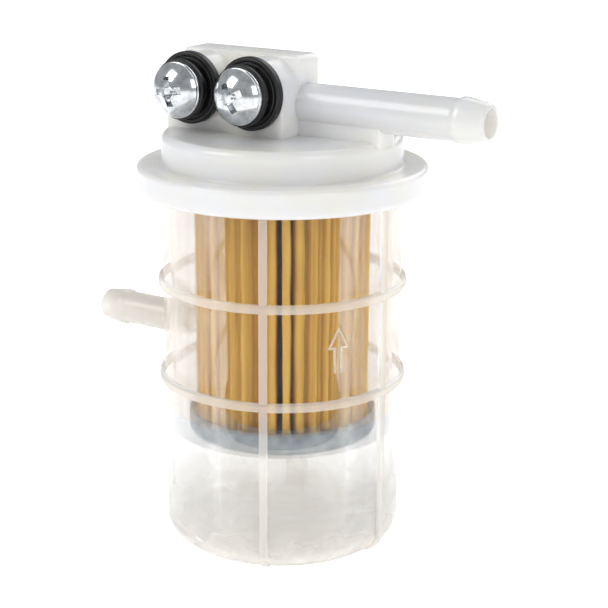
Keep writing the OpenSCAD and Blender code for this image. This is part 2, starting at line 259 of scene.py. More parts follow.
def add_node(tree: bpy.types.NodeTree, kind: str, settings: dict | None = None,
             inputs: dict | None = None) -> bpy.types.Node:
    """Adds one node, sets its properties, and sets or links its inputs.

    Args:
        tree: The node tree.
        kind: The node's type name.
        settings: Property values by name.
        inputs: Input values by name or number; a socket is linked.

    Returns:
        The new node.
    """
    node = tree.nodes.new(kind)
    for name, value in (settings or {}).items():
        setattr(node, name, value)
    for key, value in (inputs or {}).items():
        socket = node.inputs[key]
        if isinstance(value, bpy.types.NodeSocket):
            tree.links.new(value, socket)
        else:
            socket.default_value = value
    return node


def set_stops(ramp: bpy.types.Node, stops: Sequence[tuple[float, str]]) -> bpy.types.NodeSocket:
    """Gives a colour ramp its stops.

    Args:
        ramp: The colour ramp's node.
        stops: Places from 0 to 1 with their hex colours, in order.

    Returns:
        The ramp's colour output.
    """
    elements = ramp.color_ramp.elements
    while len(elements) < len(stops):
        elements.new(0.5)
    for element, (place, code) in zip(elements, stops):
        element.position = place
        element.color = linear(code)
    return ramp.outputs["Color"]


def per_metre(size_mm: float) -> float:
    """Scale of a noise whose features are size_mm across."""
    return 1 / (size_mm * MM)


# ------------------------------------------------------------------ finishes


@dataclass(frozen=True)
class Finish:
    """What every finish has. A subclass adds the pattern of its own surface."""

    name: str
    base: str
    roughness: float
    metallic: float = 0.0
    ior: float = 1.5

    @cache
    def build(self) -> bpy.types.Material:
        """Makes the material once, apart from the CAD model's own one of that slot, and returns it."""
        material = bpy.data.materials.new(f"{self.name}_finish")
        material.use_nodes = True
        tree = material.node_tree
        shader = tree.nodes["Principled BSDF"]
        shader.inputs["Base Color"].default_value = linear(self.base)
        shader.inputs["Roughness"].default_value = self.roughness
        shader.inputs["Metallic"].default_value = self.metallic
        shader.inputs["IOR"].default_value = self.ior
        self.pattern(tree, shader)
        return material

    def pattern(self, tree: bpy.types.NodeTree, shader: bpy.types.Node) -> None:
        """Adds the finish's own pattern to its shader."""

    @staticmethod
    def place(tree: bpy.types.NodeTree) -> bpy.types.NodeSocket:
        """The Object coordinates, which are real places in metres."""
        return add_node(tree, "ShaderNodeTexCoord").outputs["Object"]

    @staticmethod
    def grain(tree: bpy.types.NodeTree, size_mm: float, detail: float = 3.0,
              stretch: tuple[float, float, float] = (1, 1, 1)) -> bpy.types.NodeSocket:
        """Noise of a real size, stretched along the axes as asked."""
        mapping = add_node(tree, "ShaderNodeMapping", inputs={"Vector": Finish.place(tree), "Scale": stretch})
        return add_node(tree, "ShaderNodeTexNoise", inputs={
            "Vector": mapping.outputs[0], "Scale": per_metre(size_mm), "Detail": detail}).outputs["Fac"]

    @staticmethod
    def between(tree: bpy.types.NodeTree, value: bpy.types.NodeSocket, low: float, high: float,
                start: float = 0.3, end: float = 0.7) -> bpy.types.NodeSocket:
        """A value from start to end spread over low to high."""
        return add_node(tree, "ShaderNodeMapRange", inputs={
            "Value": value, "From Min": start, "From Max": end, "To Min": low, "To Max": high}).outputs[0]

    @staticmethod
    def bump(tree: bpy.types.NodeTree, shader: bpy.types.Node, height: bpy.types.NodeSocket,
             depth_mm: float, strength: float = 1.0) -> None:
        """Gives the shader a bump of a real depth."""
        made = add_node(tree, "ShaderNodeBump", inputs={
            "Height": height, "Distance": depth_mm * MM, "Strength": strength})
        tree.links.new(made.outputs[0], shader.inputs["Normal"])


@dataclass(frozen=True)
class ClearNylon(Finish):
    """Injection-moulded transparent polyamide: glass-clear wall, milkier wherever the section is thick."""

    tint: str = "#FBF6EE"
    wall_mm: float = 27.04
    proud_mm: float = 27.30
    haze_top_mm: float = 21.0
    haze_bottom_mm: float = 2.0
    thick_roughness: float = 0.24
    thin_alpha: float = 0.45
    thick_alpha: float = 0.93
    thick_clear: float = 0.35

    def thickness(self, tree: bpy.types.NodeTree) -> bpy.types.NodeSocket:
        """From 0 on the plain wall to 1 on hoops, ribs, arrow and pipe, and rising towards the base."""
        axes = add_node(tree, "ShaderNodeSeparateXYZ", inputs={0: self.place(tree)})
        flat = add_node(tree, "ShaderNodeCombineXYZ", inputs={0: axes.outputs["X"], 1: axes.outputs["Y"]})
        radius = add_node(tree, "ShaderNodeVectorMath", {"operation": "LENGTH"}, {0: flat.outputs[0]})
        proud = self.between(tree, radius.outputs["Value"], 0.0, 0.8, self.wall_mm * MM, self.proud_mm * MM)
        haze = self.between(tree, axes.outputs["Z"], 0.72, 0.0,
                            self.haze_bottom_mm * MM, self.haze_top_mm * MM)
        clouds = self.between(tree, self.grain(tree, 8.0, 3.0), 0.75, 1.3)
        mottled = add_node(tree, "ShaderNodeMath", {"operation": "MULTIPLY"}, {0: haze, 1: clouds})
        both = {0: proud, 1: mottled.outputs[0]}
        return add_node(tree, "ShaderNodeMath", {"operation": "MAXIMUM"}, both).outputs[0]

    def pattern(self, tree: bpy.types.NodeTree, shader: bpy.types.Node) -> None:
        """Thickness sets how milky, tinted and rough the surface is, over a slow ripple from the mould."""
        thick = self.thickness(tree)
        for name, thin_value, thick_value in (("Roughness", self.roughness, self.thick_roughness),
                                              ("Alpha", self.thin_alpha, self.thick_alpha),
                                              ("Transmission Weight", 1.0, self.thick_clear)):
            tree.links.new(self.between(tree, thick, thin_value, thick_value, 0.0, 1.0), shader.inputs[name])
        ramp = add_node(tree, "ShaderNodeValToRGB", inputs={"Fac": thick})
        tree.links.new(set_stops(ramp, [(0.15, self.base), (0.9, self.tint)]), shader.inputs["Base Color"])
        self.bump(tree, shader, self.grain(tree, 7.0, 2.0), 0.04, 0.5)


@dataclass(frozen=True)
class MilkyNylon(Finish):
    """Injection-moulded natural nylon: milky, waxy, and light travels a few millimetres in it."""

    warm: str = "#FBF4E8"
    depth_mm: float = 5.0
    clear: float = 0.08

    def pattern(self, tree: bpy.types.NodeTree, shader: bpy.types.Node) -> None:
        """Slow warm clouds in the body and a fine orange peel on the skin."""
        shader.inputs["Subsurface Weight"].default_value = 0.85
        shader.inputs["Subsurface Radius"].default_value = (1.0, 0.92, 0.75)
        shader.inputs["Subsurface Scale"].default_value = self.depth_mm * MM
        shader.inputs["Transmission Weight"].default_value = self.clear
        ramp = add_node(tree, "ShaderNodeValToRGB", inputs={"Fac": self.grain(tree, 14.0, 2.0)})
        tree.links.new(set_stops(ramp, [(0.35, self.base), (0.75, self.warm)]), shader.inputs["Base Color"])
        rough = self.between(tree, self.grain(tree, 2.5), self.roughness * 0.85, self.roughness * 1.25)
        tree.links.new(rough, shader.inputs["Roughness"])
        self.bump(tree, shader, self.grain(tree, 0.9, 2.0), 0.02, 0.4)


@dataclass(frozen=True)
class FilterPaper(Finish):
    """Resin-cured cellulose paper: dry and fibrous, with painted shade that darkens it down in the folds."""

    # Painted shade: the colour at the roots of the folds, where little light reaches
    painted_fold_shade: str = "#8A5A22"
    mid: str = "#D39A3E"
    root_mm: float = 13.0
    tip_mm: float = 20.4

    def pattern(self, tree: bpy.types.NodeTree, shader: bpy.types.Node) -> None:
        """Colour follows the depth of the fold as painted shade, dark at the roots and light at the tips,
        with fibres along the sheet.
        """
        axes = add_node(tree, "ShaderNodeSeparateXYZ", inputs={0: self.place(tree)})
        flat = add_node(tree, "ShaderNodeCombineXYZ", inputs={0: axes.outputs["X"], 1: axes.outputs["Y"]})
        radius = add_node(tree, "ShaderNodeVectorMath", {"operation": "LENGTH"}, {0: flat.outputs[0]})
        depth = self.between(tree, radius.outputs["Value"], 0.0, 1.0, self.root_mm * MM, self.tip_mm * MM)
        blotch = self.between(tree, self.grain(tree, 6.0, 3.0, (1, 1, 0.35)), -0.04, 0.04)
        shade = add_node(tree, "ShaderNodeMath", {"operation": "ADD"}, {0: depth, 1: blotch})
        # Painted shade: the ramp runs from the dark fold roots out to the light pleat tips
        ramp = add_node(tree, "ShaderNodeValToRGB", inputs={"Fac": shade.outputs[0]})
        colour = set_stops(ramp, [(0.25, self.painted_fold_shade), (0.66, self.mid), (0.95, self.base)])
        tree.links.new(colour, shader.inputs["Base Color"])
        shader.inputs["Specular IOR Level"].default_value = 0.12
        # Light soaks through thin paper, so a deep fold is brown and not black
        shader.inputs["Subsurface Weight"].default_value = 0.5
        shader.inputs["Subsurface Radius"].default_value = (1.0, 0.5, 0.2)
        shader.inputs["Subsurface Scale"].default_value = 1.5 * MM
        # Cellulose fibres are about 0.03 mm wide, drawn ten times coarser so that they show
        self.bump(tree, shader, self.grain(tree, 0.3, 4.0, (1, 1, 0.3)), 0.06, 0.6)


@dataclass(frozen=True)
class PlatedSheet(Finish):
    """Pressed zinc-plated steel sheet: dull grey with soft crystal patches and drawing marks."""

    dark: str = "#6E767C"
    patch_mm: float = 3.0

    def pattern(self, tree: bpy.types.NodeTree, shader: bpy.types.Node) -> None:
        """Crystal patches from cells, clouded by noise."""
        cells = add_node(tree, "ShaderNodeTexVoronoi", inputs={
            "Vector": self.place(tree), "Scale": per_metre(self.patch_mm)}).outputs["Distance"]
        clouds = add_node(tree, "ShaderNodeMath", {"operation": "MULTIPLY"},
                          {0: cells, 1: self.grain(tree, 2.0, 5.0)})
        ramp = add_node(tree, "ShaderNodeValToRGB", inputs={"Fac": clouds.outputs[0]})
        tree.links.new(set_stops(ramp, [(0.08, self.dark), (0.42, self.base)]), shader.inputs["Base Color"])
        rough = self.between(tree, clouds.outputs[0], self.roughness * 0.8, self.roughness * 1.3, 0.05, 0.45)
        tree.links.new(rough, shader.inputs["Roughness"])
        self.bump(tree, shader, self.grain(tree, 1.2, 4.0), 0.05, 0.5)


@dataclass(frozen=True)
class BrightZinc(Finish):
    """Bright zinc on a cold-headed steel screw: mirror-like with faint tumbling marks."""

    shade: str = "#B9BDC1"

    def pattern(self, tree: bpy.types.NodeTree, shader: bpy.types.Node) -> None:
        """Faint cloudy plating and fine tumbling marks."""
        clouds = self.grain(tree, 1.6, 4.0)
        ramp = add_node(tree, "ShaderNodeValToRGB", inputs={"Fac": clouds})
        tree.links.new(set_stops(ramp, [(0.3, self.shade), (0.6, self.base)]), shader.inputs["Base Color"])
        rough = self.between(tree, clouds, self.roughness * 1.5, self.roughness * 0.8)
        tree.links.new(rough, shader.inputs["Roughness"])
        self.bump(tree, shader, self.grain(tree, 0.7, 5.0), 0.02, 0.35)


@dataclass(frozen=True)
class FuelRubber(Finish):
    """Moulded nitrile rubber: near-black with a soft sheen and a faint bloom of wax."""

    bloom: str = "#1B1B1D"

    def pattern(self, tree: bpy.types.NodeTree, shader: bpy.types.Node) -> None:
        """Wax bloom in patches over a fine mould texture."""
        patches = self.grain(tree, 2.2, 4.0)
        ramp = add_node(tree, "ShaderNodeValToRGB", inputs={"Fac": patches})
        tree.links.new(set_stops(ramp, [(0.4, self.base), (0.8, self.bloom)]), shader.inputs["Base Color"])
        rough = self.between(tree, patches, self.roughness * 0.8, self.roughness * 1.3)
        tree.links.new(rough, shader.inputs["Roughness"])
        self.bump(tree, shader, self.grain(tree, 0.35, 3.0), 0.02, 0.5)


@dataclass(frozen=True)
class TurnedBrass(Finish):
    """Turned brass: warm metal with fine rings from the lathe."""

    def pattern(self, tree: bpy.types.NodeTree, shader: bpy.types.Node) -> None:
        """Lathe marks, drawn as grain squeezed along the insert's axis."""
        marks = self.grain(tree, 0.6, 3.0, (0.3, 3.0, 0.3))
        rough = self.between(tree, marks, self.roughness * 0.8, self.roughness * 1.3)
        tree.links.new(rough, shader.inputs["Roughness"])
        self.bump(tree, shader, marks, 0.02, 0.4)


@dataclass(frozen=True)
class CuredAdhesive(Finish):
    """Cured plastisol: opaque cream with small bubbles and a satin skin."""

    def pattern(self, tree: bpy.types.NodeTree, shader: bpy.types.Node) -> None:
        """Shallow bubbles under the skin."""
        shader.inputs["Subsurface Weight"].default_value = 0.2
        shader.inputs["Subsurface Scale"].default_value = 1.0 * MM
        bubbles = add_node(tree, "ShaderNodeTexVoronoi", inputs={
            "Vector": self.place(tree), "Scale": per_metre(1.1)}).outputs["Distance"]
        self.bump(tree, shader, bubbles, 0.08, 0.4)


CLEAR = ClearNylon("clear_nylon", "#FDFDFC", 0.02, ior=1.45)
MILKY = MilkyNylon("milky_nylon", "#FDFCFA", 0.20, ior=1.53)
PAPER = FilterPaper("filter_paper", "#F2BE5E", 0.9)
SHEET = PlatedSheet("plated_sheet", "#A9AFB3", 0.42, 1.0)
ZINC = BrightZinc("bright_zinc", "#E4E6E8", 0.13, 1.0)
RUBBER = FuelRubber("fuel_rubber", "#0A0A0B", 0.42)
BRASS = TurnedBrass("brass", "#D9B765", 0.28, 1.0)
GLUE = CuredAdhesive("adhesive", "#D8D0B8", 0.45)


def show(name: str, bm: bmesh.types.BMesh, finish: Finish, body: str, stands_for: str,
         smooth: float = SMOOTH_ANGLE) -> bpy.types.Object:
    """Turns a finished bmesh into a piece of the object.

    Args:
        name: The piece's name.
        bm: Its mesh in millimetres, which is used up.
        finish: Its finish.
        body: The CAD body that it rides on.
        stands_for: The CAD node that it replaces.
        smooth: Edges sharper than this angle stay sharp.

    Returns:
        The piece.
    """
    placed(bm, Matrix.Scale(MM, 4))
    bmesh.ops.triangulate(bm, faces=[f for f in bm.faces if len(f.verts) > 4])
    made = loose_object(bm, name)
    made.data.shade_smooth()
    made.data.set_sharp_from_angle(angle=smooth)
    made.data.materials.append(finish.build())
    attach(made, body)
    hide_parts(stands_for)
    LOG.info("%s: %d faces on %s", name, len(made.data.polygons), body)
    return made


def keep(node: str, finish: Finish) -> None:
    """Gives a CAD node that stays a better finish.

    Args:
        node: The CAD node.
        finish: Its finish.
    """
    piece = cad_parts[node]
    piece.data.materials.clear()
    piece.data.materials.append(finish.build())
    LOG.info("%s: kept, dressed in %s", node, finish.name)


# ---------------------------------------------------------------- the pieces


@dataclass(frozen=True)
class HosePipe:
    """A hose pipe that ends in a barb, along +Z from the origin."""

    diameter: float
    bore: float
    barb: float
    reach: float
    shoulder: float = 1.2
    land: float = 0.8
    cone: float = 5.6
    tip_wall: float = 1.0
    tip_radius: float = 0.9

    def solid(self) -> bmesh.types.BMesh:
        """The pipe without its bore."""
        r, tip = self.diameter / 2, self.bore / 2 + self.tip_wall
        land_start = self.reach - self.cone - self.land
        return spun([(0, 0, 0), (r, 0, 0), (r, land_start - self.shoulder, 0.8),
                     (r + self.barb, land_start, 0.35), (r + self.barb, land_start + self.land, 0.5),
                     (tip, self.reach, self.tip_radius), (0, self.reach, 0)], steps=SMALL_STEPS)

    def hole(self, start: float) -> bmesh.types.BMesh:
        """What is cut away for the bore, with a rounded mouth at the tip."""
        r, mouth = self.bore / 2, 0.08
        return spun([(0, start, 0), (r, start, 0), (r, self.reach - mouth, 0.6),
                     (r + 2 * mouth, self.reach + mouth, 0), (0, self.reach + mouth, 0)], steps=SMALL_STEPS)


@dataclass
class Bowl:
    """The clear bowl with its hoops, ribs, flow arrow and inlet."""

    radius: float = 27.0
    wall: float = 1.8
    floor: float = 2.2
    corner: float = 5.6
    rim_step: float = 3.2
    rim_height: float = 2.8
    hoops: tuple[float, ...] = (39.1, 61.1)
    hoop_width: float = 2.0
    hoop_proud: float = 1.15
    rib_angles: tuple[float, ...] = (-65, -3, 59, 121)
    rib_width: float = 1.9
    rib_proud: float = 0.85
    rib_foot: float = 20.5
    foot_inner: float = 19.0
    foot_outer: float = 19.4
    foot_rise: float = 0.35
    arrow_angle: float = -30
    arrow_foot: float = 46.2
    shaft_length: float = 5.4
    shaft_width: float = 2.1
    point_length: float = 5.0
    point_width: float = 5.2
    line_width: float = 0.5
    line_height: float = 0.3
    inlet_height: float = 46.7
    inlet: HosePipe = field(default_factory=lambda: HosePipe(7.7, 5.0, 0.35, 26.0))

    @property
    def height(self) -> float:
        """Height of the wall up to the underside of the head."""
        return node_box("bowl")[1].z - self.rim_height

    def shell(self) -> bmesh.types.BMesh:
        """Wall, floor, hoops and welding rim in one turn."""
        top = self.height + self.rim_height
        inner = self.radius - self.wall
        outline: list[Corner] = [(0, self.foot_rise, 0), (self.foot_inner, self.foot_rise, 0.3),
                                 (self.foot_outer, 0, 0.3), (self.radius, 0, self.corner)]
        for middle in self.hoops:
            low, high = middle - self.hoop_width / 2, middle + self.hoop_width / 2
            outer = self.radius + self.hoop_proud
            outline += [(self.radius, low, 0.35), (outer, low, 0.7),
                        (outer, high, 0.7), (self.radius, high, 0.35)]
        rim = self.radius + self.rim_step
        outline += [(self.radius, self.height, 0.8), (rim, self.height, 0.3), (rim, top, 0.3),
                    (inner, top, 0.3), (inner, self.floor, self.corner - self.wall), (0, self.floor, 0)]
        return spun(outline)

    def rib(self, angle: float) -> bmesh.types.BMesh:
        """One upright rib, down over the base's corner."""
        inside, outside, foot = self.radius - self.wall / 2, self.radius + self.rib_proud, 0.06
        corners = [(self.rib_foot, foot, 0), (outside, foot, self.corner), (outside, self.height + 0.4, 0),
                   (inside, self.height + 0.4, 0), (inside, foot + 1.0, self.corner - 1.0),
                   (self.rib_foot, foot + 1.0, 0)]
        half = self.rib_width / 2
        return placed(prism(corners, -half, half, 0.3), spoke_turn(angle))

    def arrow(self) -> bmesh.types.BMesh:
        """The flow arrow as a raised line, wrapped round the wall."""
        half_shaft, half_point, line = self.shaft_width / 2, self.point_width / 2, self.line_width
        neck, tip = self.shaft_length, self.shaft_length + self.point_length
        slant = line * math.hypot(1, self.point_length / half_point)
        inner_half = (self.point_length - slant - line) * half_point / self.point_length
        inner_shaft = half_shaft - line
        corners = [(-half_shaft, 0, 0), (-half_shaft, neck, 0), (-half_point, neck, 0.1), (0, tip, 0.15),
                   (half_point, neck, 0.1), (half_shaft, neck, 0), (half_shaft, 0, 0), (inner_shaft, 0, 0),
                   (inner_shaft, neck + line, 0), (inner_half, neck + line, 0), (0, tip - slant, 0),
                   (-inner_half, neck + line, 0), (-inner_shaft, neck + line, 0), (-inner_shaft, 0, 0)]
        bm = prism(corners, -self.line_height, self.wall / 2)
        for vert in bm.verts:
            reach = self.radius - vert.co.y
            turn = math.radians(self.arrow_angle) + vert.co.x / self.radius
            vert.co = Vector((reach * math.cos(turn), reach * math.sin(turn), vert.co.z + self.arrow_foot))
        return cleaned(bm)

    def build(self) -> None:
        """Builds the bowl and shows it in place of its CAD node."""
        towards_inlet = Matrix.Rotation(math.radians(-90), 4, "Y")
        at_inlet = Matrix.Translation((-self.radius + self.wall, 0, self.inlet_height))
        whole = self.shell()
        for angle in self.rib_angles:
            whole = fused(whole, self.rib(angle))
        whole = fused(whole, self.arrow())
        whole = fused(whole, placed(self.inlet.solid(), towards_inlet, at_inlet))
        whole = fused(whole, placed(self.inlet.hole(-self.wall), towards_inlet, at_inlet), Join.DIFFERENCE)
        show("clear_bowl", whole, CLEAR, FILTER_BODY, "bowl")


@dataclass
class Head:
    """The milky head: flange, drum, screw block, web and outlet."""

    flange_radius: float = 32.5
    flange_height: float = 6.1
    drum_radius: float = 26.9
    drum_height: float = 7.0
    drum_edge: float = 1.7
    wall: float = 1.9
    roof: float = 2.0
    seat_radius: float = 30.2
    seat_height: float = 2.8
    spigot_radius: float = 5.5
    spigot_end: float = 85.5
    outlet_rise: float = 6.5
    web_half: float = 3.3
    screws: tuple[float, float] = (-17.2, -1.0)
    screws_rise: float = 9.4
    boss_radius: float = 7.4
    block_front: float = -9.9
    plate_front: float = -3.3
    plate_back: float = 4.9
    plate_rise: float = 0.3
    insert_diameter: float = 8.5
    insert_length: float = 5.8
    flash_depth: float = 0.35
    outlet: HosePipe = field(default_factory=lambda: HosePipe(9.2, 6.0, 0.45, 51.2))

    @property
    def low(self) -> float:
        """Height of the flange's underside."""
        return node_box("head_cover")[0].z

    @property
    def drum_top(self) -> float:
        """Height of the drum's flat top."""
        return self.low + self.flange_height + self.drum_height

    def body(self) -> bmesh.types.BMesh:
        """Flange, drum and spigot in one turn, with the weld's flash at the lower edge."""
        inner, ledge = self.drum_radius - self.wall, self.low + self.flange_height
        ceiling = self.drum_top - self.roof
        seat = self.low + self.seat_height
        bm = spun([(0, self.drum_top, 0), (self.drum_radius, self.drum_top, self.drum_edge),
                   (self.drum_radius, ledge, 0.7), (self.flange_radius, ledge, 1.1),
                   (self.flange_radius, self.low, 1.3), (self.seat_radius, self.low, 0.15),
                   (self.seat_radius, seat, 0.15), (inner, seat, 0.3), (inner, ceiling, 1.0),
                   (self.spigot_radius, ceiling, 0.8), (self.spigot_radius, self.spigot_end, 0.6),
                   (0, self.spigot_end, 0)])
        flash_top = self.low + 0.2
        for vert in bm.verts:
            radius = vert.co.xy.length
            if vert.co.z < flash_top and radius < self.seat_radius + 0.6:
                ragged = noise.noise(Vector((vert.co.x, vert.co.y, 0)) * 0.9)
                vert.co.z += self.flash_depth * max(0.0, ragged)
        return bm

    def screw_height(self) -> float:
        """Height of the screws' axes."""
        return self.drum_top + self.screws_rise

    def lobes(self) -> bmesh.types.BMesh:
        """The two bosses in front, round on top with a shallow valley between."""
        height, r, foot = self.screw_height(), self.boss_radius, self.drum_top - self.drum_edge
        left, right = self.screws
        base = prism([(left - r, foot, 0), (left - r, height + 1.2, 0), (right + r, height + 1.2, 0),
                      (right + r, foot, 0)], self.block_front, self.plate_front + 0.5, 0.5)
        for centre in self.screws:
            disc = spun([(0, 0, 0), (r, 0, 0.5), (r, self.plate_front + 0.5 - self.block_front, 0.5),
                         (0, self.plate_front + 0.5 - self.block_front, 0)], steps=MEDIUM_STEPS)
            upright = placed(disc, Matrix.Rotation(math.radians(-90), 4, "X"),
                             Matrix.Translation((centre, self.block_front, height)))
            base = fused(base, upright)
        return self.trimmed(base)

    def trimmed(self, bm: bmesh.types.BMesh) -> bmesh.types.BMesh:
        """Cuts the square shoulders off beside the round bosses.

        Args:
            bm: The bosses, which are used up.

        Returns:
            The bosses without their shoulders.
        """
        height, r = self.screw_height(), self.boss_radius
        left, right = self.screws
        for centre, out in ((left, -1), (right, 1)):
            edge = centre + out * r
            corner = prism([(edge + out, height, 0), (edge + out, height + 2, 0),
                            (centre + out * r * 0.95, height + 2, 0),
                            (centre + out * r * 0.985, height + 1.2, 0),
                            (edge, height, 0)], self.block_front - 1, self.plate_front - 0.4)
            bm = fused(bm, corner, Join.DIFFERENCE)
        return bm

    def plate(self) -> bmesh.types.BMesh:
        """The back plate that holds the outlet's passage."""
        left, right = self.screws[0] - self.boss_radius, self.screws[1] + self.boss_radius
        foot = self.drum_top - self.drum_edge
        top = self.screw_height() + self.boss_radius + self.plate_rise
        return prism([(left, foot, 0), (left, top, 1.5), (right, top, 1.5), (right, foot, 0)],
                     self.plate_front, self.plate_back, 0.7)

    def web(self) -> bmesh.types.BMesh:
        """The web under the outlet, flush with the drum."""
        end = math.sqrt(self.drum_radius ** 2 - self.web_half ** 2)
        low, high = self.drum_top - self.drum_edge, self.drum_top + self.outlet_rise
        return prism([(0, low, 0), (0, high, 0), (end, high, 0.4), (end, low, 0)],
                     -self.web_half, self.web_half, 0.5)

    def build(self) -> None:
        """Builds the head and shows it in place of its CAD node."""
        axis = self.drum_top + self.outlet_rise
        along_x = Matrix.Rotation(math.radians(90), 4, "Y")
        at_outlet = Matrix.Translation((0, 0, axis))
        bore = self.outlet.bore / 2
        whole = self.body()
        for part in (self.lobes(), self.plate(), self.web(), placed(self.outlet.solid(), along_x, at_outlet)):
            whole = fused(whole, part)
        riser = spun([(0, self.spigot_end - 1, 0), (bore, self.spigot_end - 1, 0), (bore, axis, 0),
                      (0, axis, 0)], steps=SMALL_STEPS)
        whole = fused(whole, riser, Join.DIFFERENCE)
        whole = fused(whole, placed(self.outlet.hole(-bore), along_x, at_outlet), Join.DIFFERENCE)
        for centre in self.screws:
            pocket = spun([(0, -1, 0), (self.insert_diameter / 2, -1, 0),
                           (self.insert_diameter / 2, self.insert_length, 0), (0, self.insert_length, 0)],
                          steps=SMALL_STEPS)
            placed(pocket, Matrix.Rotation(math.radians(-90), 4, "X"),
                   Matrix.Translation((centre, self.block_front, self.screw_height())))
            whole = fused(whole, pocket, Join.DIFFERENCE)
        show("milky_head", whole, MILKY, FILTER_BODY, "head_cover")


@dataclass
class Element:
    """The pleated paper between its pressed caps, with the tube, adhesive and seal inside."""

    pleats: int = 40
    tip_radius: float = 20.05
    root_radius: float = 10.4
    tip_half: float = 0.90
    root_half: float = 0.45
    paper: float = 0.42
    levels: int = 36
    seam_pleat: int = 32
    seam_sink: float = 2.2
    cap_radius: float = 21.5
    cap_rim: float = 5.2
    cap_hole: float = 7.2
    sheet: float = 0.6
    bead_start: float = 13.2
    bead_low: float = 14.0
    bead_high: float = 17.6
    bead_end: float = 18.4
    bead_height: float = 0.35
    inner_offset: float = 0.2

    def fold_outline(self) -> list[Vector]:
        """The folded sheet's cross-section, with the lap seam as one flat panel."""
        points: list[Vector] = []
        for i in range(self.pleats):
            middle = math.tau * i / self.pleats
            seam = i == self.seam_pleat
            reach = self.tip_radius - self.paper / 2 - (self.seam_sink if seam else 0)
            width = self.tip_half * (2.0 if seam else 1.0)
            jitter = 0.16 * noise.noise(Vector((i * 1.7, 3.1, 0)))
            for across, back in ((-1.0, 0.45), (-0.72, 0.1), (0.0, 0.0), (0.72, 0.1), (1.0, 0.45)):
                turn = middle + (across * width + jitter) / reach
                points.append(Vector(((reach - back) * math.cos(turn), (reach - back) * math.sin(turn), 0)))
            valley = middle + math.pi / self.pleats
            for across, back in ((-1.0, 0.35), (0.0, 0.0), (1.0, 0.35)):
                turn = valley + across * self.root_half / self.root_radius
                near = self.root_radius + back
                points.append(Vector((near * math.cos(turn), near * math.sin(turn), 0)))
        return points

    def folded_paper(self, low: float, high: float) -> bmesh.types.BMesh:
        """Raises the folded outline in levels, lets the folds wander a little, and gives it thickness.

        Args:
            low: Height of the paper's lower end.
            high: Height of its upper end.

        Returns:
            The paper.
        """
        bm = bmesh.new()
        ring = [bm.verts.new(p + Vector((0, 0, low))) for p in self.fold_outline()]
        edges = [bm.edges.new(pair) for pair in zip(ring, ring[1:] + ring[:1])]
        rise = (high - low) / self.levels
        for _ in range(self.levels):
            grown = bmesh.ops.extrude_edge_only(bm, edges=edges)["geom"]
            raised = [g for g in grown if isinstance(g, bmesh.types.BMVert)]
            bmesh.ops.translate(bm, verts=raised, vec=(0, 0, rise))
            edges = [g for g in grown if isinstance(g, bmesh.types.BMEdge)]
        for vert in bm.verts:
            self.wander(vert, low, high)
        bmesh.ops.recalc_face_normals(bm, faces=bm.faces)
        bmesh.ops.solidify(bm, geom=bm.faces, thickness=self.paper)
        return bm

    def wander(self, vert: bmesh.types.BMVert, low: float, high: float) -> None:
        """Moves a point of the fold sideways and inwards by a slow noise, less at the glued ends.

        Args:
            vert: The point, which is moved.
            low: Height of the paper's lower end.
            high: Height of its upper end.
        """
        share = (vert.co.z - low) / (high - low)
        slack = min(1.0, 4 * share, 4 * (1 - share))
        turn = math.atan2(vert.co.y, vert.co.x)
        radius = vert.co.xy.length
        depth = (radius - self.root_radius) / (self.tip_radius - self.root_radius)
        place = Vector((math.cos(turn) * 9, math.sin(turn) * 9, vert.co.z * 0.11))
        turn += slack * depth * 0.34 * noise.noise(place) / radius
        radius -= slack * depth * 0.28 * abs(noise.noise(place + Vector((0, 0, 40))))
        vert.co.x, vert.co.y = radius * math.cos(turn), radius * math.sin(turn)

    def pressed_cap(self, hole: float) -> bmesh.types.BMesh:
        """A pressed cap with its floor at z = 0 and its rim upwards.

        Args:
            hole: Radius of the hole in its middle, or 0 for none.

        Returns:
            The cap.
        """
        outer, t, rim = self.cap_radius, self.sheet, self.cap_rim
        start: list[Corner] = [(hole, 0, 0.15)] if hole else [(0, 0, 0)]
        end: list[Corner] = [(hole, t, 0.15)] if hole else [(0, t, 0)]
        bead, inside = self.bead_height, t + self.bead_height
        return spun(start + [(self.bead_start, 0, 0.6), (self.bead_low, bead, 0.6),
                             (self.bead_high, bead, 0.6), (self.bead_end, 0, 0.6), (outer, 0, 1.0),
                             (outer, rim, 0.25), (outer - t, rim, 0.25), (outer - t, inside, 0.5),
                             (self.bead_end + self.inner_offset, inside, 0.3),
                             (self.bead_low + self.inner_offset, inside, 0.3)] + end, closed=bool(hole))

    def build(self) -> None:
        """Builds the paper and the caps, and dresses the inner pieces."""
        paper_low, paper_high = (corner.z for corner in node_box("pleated_paper"))
        show("folded_paper", self.folded_paper(paper_low, paper_high), PAPER, FILTER_BODY, "pleated_paper",
             math.radians(60))
        low = node_box("lower_end_cap")[0].z
        show("lower_pressed_cap", placed(self.pressed_cap(0), Matrix.Translation((0, 0, low))),
             SHEET, FILTER_BODY, "lower_end_cap")
        high = node_box("upper_end_cap")[1].z
        upper = placed(self.pressed_cap(self.cap_hole), Matrix.Scale(-1, 4, (0, 0, 1)),
                       Matrix.Translation((0, 0, high)))
        show("upper_pressed_cap", cleaned(upper), SHEET, FILTER_BODY, "upper_end_cap")
        keep("lower_potting", GLUE)
        keep("upper_potting", GLUE)
        keep("centre_tube", SHEET)
        keep("spigot_seal", RUBBER)


